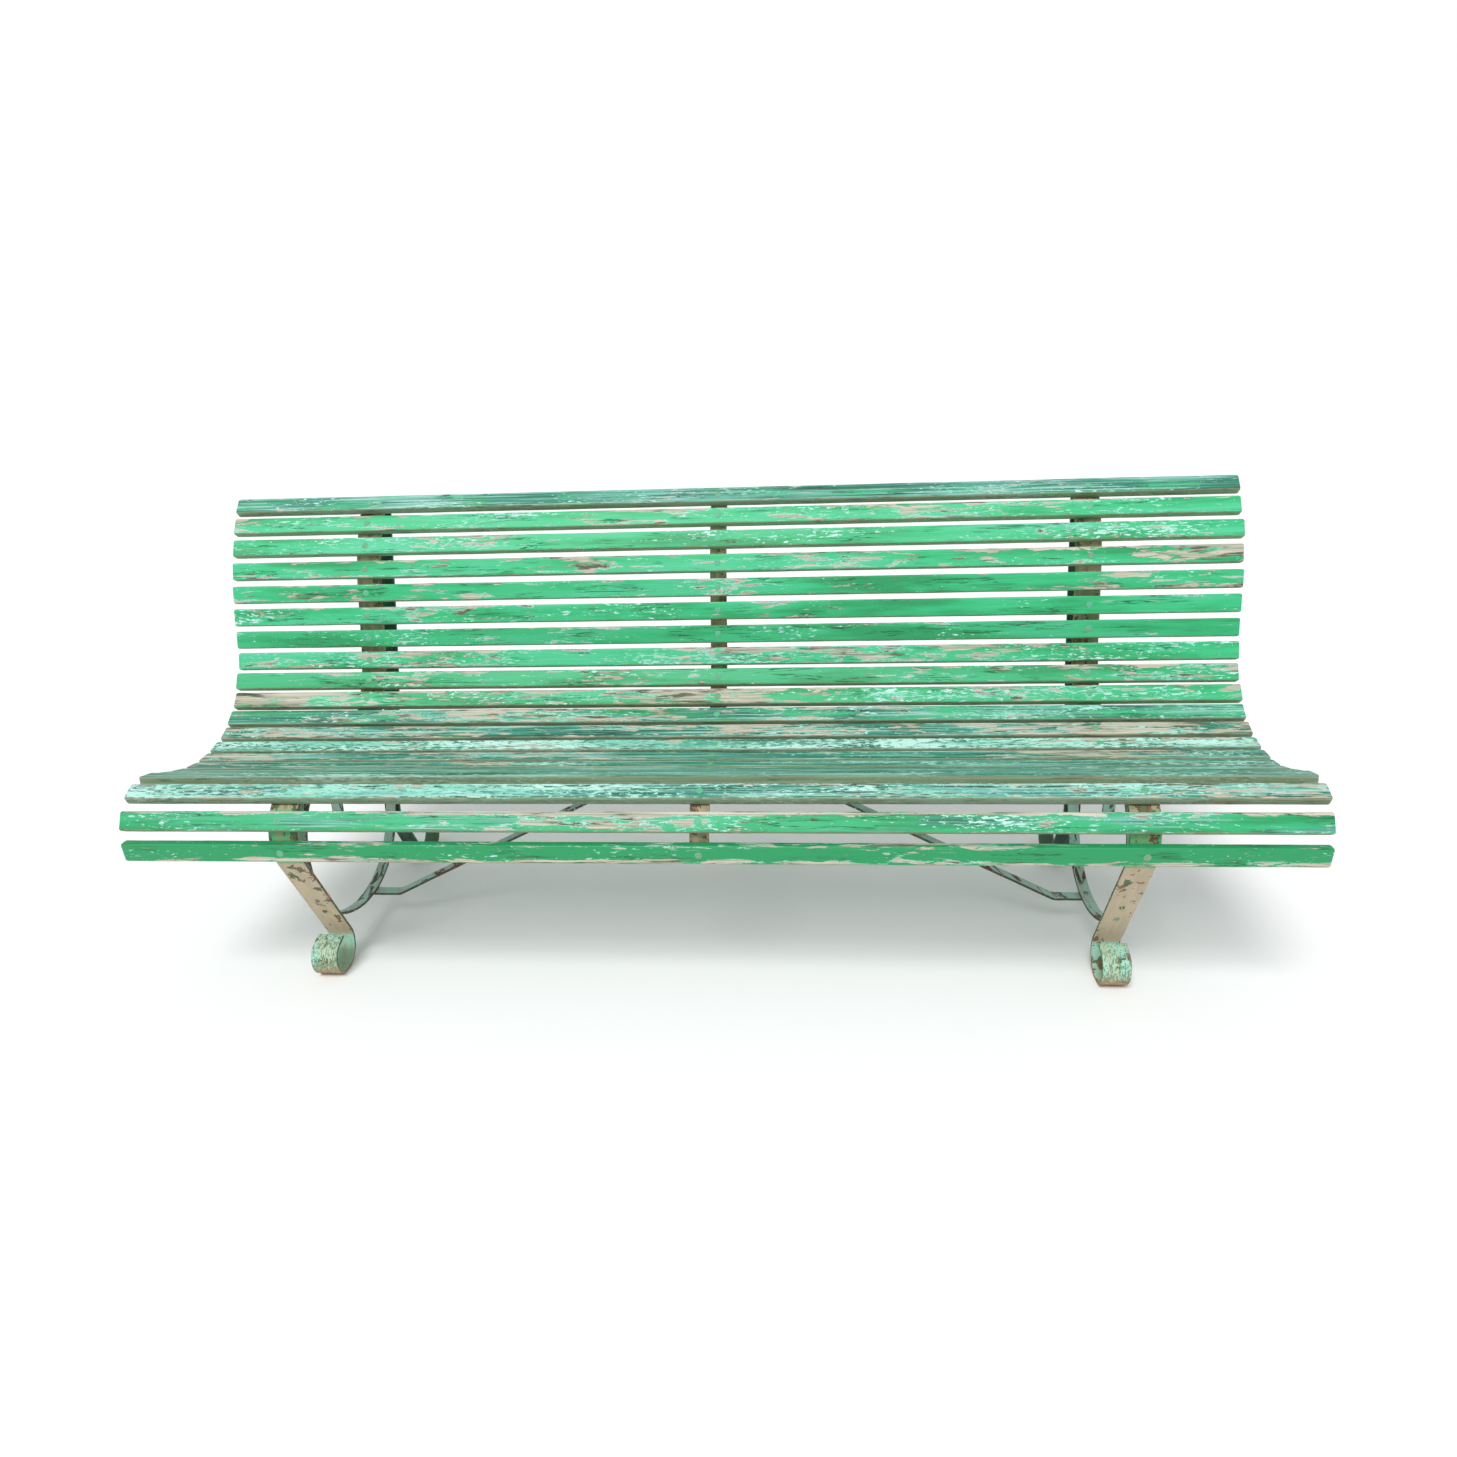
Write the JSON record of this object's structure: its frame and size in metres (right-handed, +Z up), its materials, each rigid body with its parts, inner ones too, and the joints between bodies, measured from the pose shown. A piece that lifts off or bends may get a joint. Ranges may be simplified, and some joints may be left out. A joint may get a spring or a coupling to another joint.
{
  "type": "garden bench",
  "caption": "Long garden bench with green painted wooden slats bolted to curved flat-iron side frames with scroll feet and bowed braces.",
  "frame": {"origin": "on the ground, under the middle of the bench's bounding box", "axes": "+X along the bench, +Z up, the sitter looks along -Y"},
  "size_m": [2.2, 0.7515, 0.8769],
  "materials": {
    "painted_slat": "worn green paint over older pale paint, bare wood at the edges",
    "painted_strap": "worn green and beige paint with rust chips",
    "painted_leg": "worn green paint with rust chips",
    "painted_brace": "worn mint green paint with brown rust",
    "rusty_rivet": "rusty iron with paint remains",
    "painted_fastener": "painted over with the slats"
  },
  "bodies": {
    "root": {"centre_strap": "painted_strap", "leg_bow_left": "painted_brace", "leg_bow_right": "painted_brace", "rear_leg_left": "painted_leg", "rear_leg_right": "painted_leg", "rivet_back_top_left": "rusty_rivet", "rivet_back_top_right": "rusty_rivet", "rivet_bow_front_left": "rusty_rivet", "rivet_bow_front_right": "rusty_rivet", "rivet_bow_rear_left": "rusty_rivet", "rivet_bow_rear_right": "rusty_rivet", "rivet_scroll_leg_left": "rusty_rivet", "rivet_scroll_leg_right": "rusty_rivet", "rivet_scroll_seat_left": "rusty_rivet", "rivet_scroll_seat_right": "rusty_rivet", "rivet_stretcher_centre": "rusty_rivet", "rivet_stretcher_left": "rusty_rivet", "rivet_stretcher_right": "rusty_rivet", "seat_scroll_left": "painted_brace", "seat_scroll_right": "painted_brace", "side_strap_left": "painted_strap", "side_strap_right": "painted_strap", "slat_01": "painted_slat", "slat_02": "painted_slat", "slat_03": "painted_slat", "slat_04": "painted_slat", "slat_05": "painted_slat", "slat_06": "painted_slat", "slat_07": "painted_slat", "slat_08": "painted_slat", "slat_09": "painted_slat", "slat_10": "painted_slat", "slat_11": "painted_slat", "slat_12": "painted_slat", "slat_13": "painted_slat", "slat_14": "painted_slat", "slat_15": "painted_slat", "slat_16": "painted_slat", "slat_17": "painted_slat", "slat_18": "painted_slat", "slat_19": "painted_slat", "slat_20": "painted_slat", "slat_21": "painted_slat", "slat_bolt_01_centre": "painted_fastener", "slat_bolt_01_left": "painted_fastener", "slat_bolt_01_right": "painted_fastener", "slat_bolt_21_centre": "painted_fastener", "slat_bolt_21_left": "painted_fastener", "slat_bolt_21_right": "painted_fastener", "slat_nut_01_centre": "painted_fastener", "slat_nut_01_left": "painted_fastener", "slat_nut_01_right": "painted_fastener", "slat_nut_21_centre": "painted_fastener", "slat_nut_21_left": "painted_fastener", "slat_nut_21_right": "painted_fastener", "stretcher": "painted_brace"}
  },
  "joints": []
}
